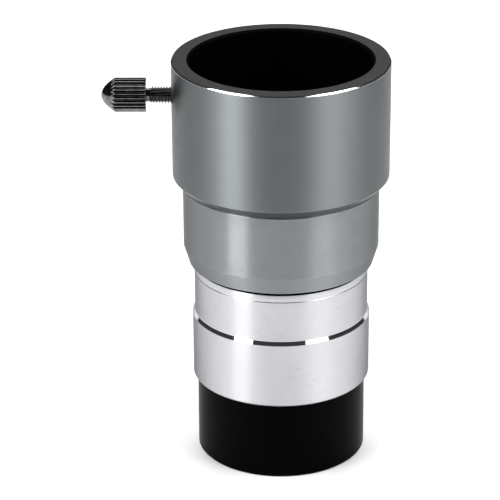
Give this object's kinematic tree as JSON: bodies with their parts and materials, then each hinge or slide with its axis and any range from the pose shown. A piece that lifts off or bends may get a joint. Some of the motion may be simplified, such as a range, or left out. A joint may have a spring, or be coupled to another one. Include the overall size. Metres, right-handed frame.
{
  "type": "barlow lens",
  "caption": "Telescope barlow lens: grey eyepiece collar with thumbscrew, stepped sleeve, bright nosepiece with safety undercut and a black screw-out lens cell.",
  "frame": {"origin": "centre of the lens cell's open foot, on the optical axis, where a filter screws in", "axes": "+Z along the optical axis towards the eyepiece; the thumbscrew sticks out towards -X"},
  "size_m": [0.0503, 0.038, 0.0736],
  "materials": {
    "gunmetal": "turned aluminium, satin grey anodised",
    "bright_satin": "turned aluminium, bright satin with a polished step",
    "matt_black": "aluminium, matt black anodised",
    "optical_glass": "coated optical glass",
    "spacer_foil": "thin rolled foil",
    "dark_chrome": "steel, bright dark chrome plate",
    "soft_plug": "natural nylon"
  },
  "bodies": {
    "housing": {"eyepiece_collar": "gunmetal", "barrel_sleeve": "gunmetal", "glare_stop": "matt_black", "nosepiece": "bright_satin"},
    "doublet": {"crown_lens": "optical_glass", "lens_spacer": "spacer_foil", "flint_lens": "optical_glass"},
    "cell": {"lens_cell": "matt_black", "retaining_ring": "matt_black"},
    "screw_plug": {"thumbscrew_tip": "soft_plug"},
    "screw": {"thumbscrew_knob": "dark_chrome", "thumbscrew_stem": "dark_chrome"}
  },
  "joints": [
    {"name": "cell_slide", "type": "slide", "parent": "housing", "child": "doublet", "axis": [0, 0, -1], "range_m": [0, 0.0036]},
    {"name": "cell_turn", "type": "hinge", "parent": "doublet", "child": "cell", "pos_m": [0, 0, 0], "axis": [0, 0, -1], "range_deg": [0, 2160]},
    {"name": "screw_slide", "type": "slide", "parent": "housing", "child": "screw_plug", "axis": [-1, 0, 0], "range_m": [-0.004, 0.0015]},
    {"name": "screw_turn", "type": "hinge", "parent": "screw_plug", "child": "screw", "pos_m": [0, 0, 0.067], "axis": [-1, 0, 0], "range_deg": [-2880, 1080]}
  ],
  "couplings": [
    {"joint": "cell_slide", "follows": "cell_turn", "m_per_rad": 0.000095493},
    {"joint": "screw_slide", "follows": "screw_turn", "m_per_rad": 0.000079577}
  ]
}
